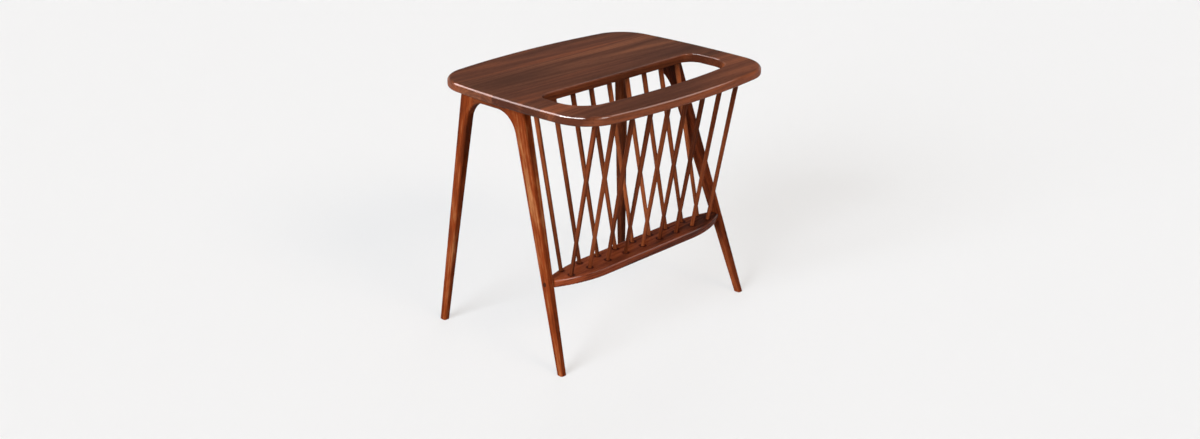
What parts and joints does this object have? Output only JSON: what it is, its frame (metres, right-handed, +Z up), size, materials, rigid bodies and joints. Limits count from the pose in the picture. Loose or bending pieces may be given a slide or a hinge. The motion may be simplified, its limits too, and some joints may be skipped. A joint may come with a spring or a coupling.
{
  "type": "magazine table with rack",
  "caption": "Walnut side table on splayed, arched end frames, with a slot through the top that opens into a V-shaped spindle rack standing on a narrow shelf.",
  "frame": {"origin": "on the floor, under the middle of the tabletop", "axes": "+Z up, X along the tabletop's long side, -Y towards the slot and the rack, which is the front"},
  "size_m": [0.5714, 0.4572, 0.5271],
  "materials": {
    "top_board_back": "satin lacquered walnut",
    "top_board_middle": "satin lacquered walnut",
    "top_board_slot": "satin lacquered walnut",
    "top_board_front": "satin lacquered walnut",
    "left_front_leg": "satin lacquered walnut",
    "right_front_leg": "satin lacquered walnut",
    "left_back_leg": "satin lacquered walnut",
    "right_back_leg": "satin lacquered walnut",
    "left_rail": "satin lacquered walnut",
    "right_rail": "satin lacquered walnut",
    "rack_shelf": "satin lacquered walnut",
    "spindle": "satin lacquered walnut",
    "plug": "satin lacquered end grain",
    "dowel": "bare",
    "screw": "zinc plated"
  },
  "bodies": {
    "root": {"top_board_back": "top_board_back", "top_board_middle": "top_board_middle", "top_board_slot": "top_board_slot", "top_board_front": "top_board_front", "left_front_leg": "left_front_leg", "right_front_leg": "right_front_leg", "left_back_leg": "left_back_leg", "right_back_leg": "right_back_leg", "left_rail": "left_rail", "right_rail": "right_rail", "rack_shelf": "rack_shelf", "front_spindle_1": "spindle", "front_spindle_2": "spindle", "front_spindle_3": "spindle", "front_spindle_4": "spindle", "front_spindle_5": "spindle", "front_spindle_6": "spindle", "front_spindle_7": "spindle", "front_spindle_8": "spindle", "front_spindle_9": "spindle", "rear_spindle_1": "spindle", "rear_spindle_2": "spindle", "rear_spindle_3": "spindle", "rear_spindle_4": "spindle", "rear_spindle_5": "spindle", "rear_spindle_6": "spindle", "rear_spindle_7": "spindle", "rear_spindle_8": "spindle", "rear_spindle_9": "spindle", "left_plug": "plug", "right_plug": "plug", "left_frame_dowels": "dowel", "right_frame_dowels": "dowel", "left_shelf_screw": "screw", "right_shelf_screw": "screw", "left_rail_screws": "screw", "right_rail_screws": "screw"}
  },
  "joints": []
}
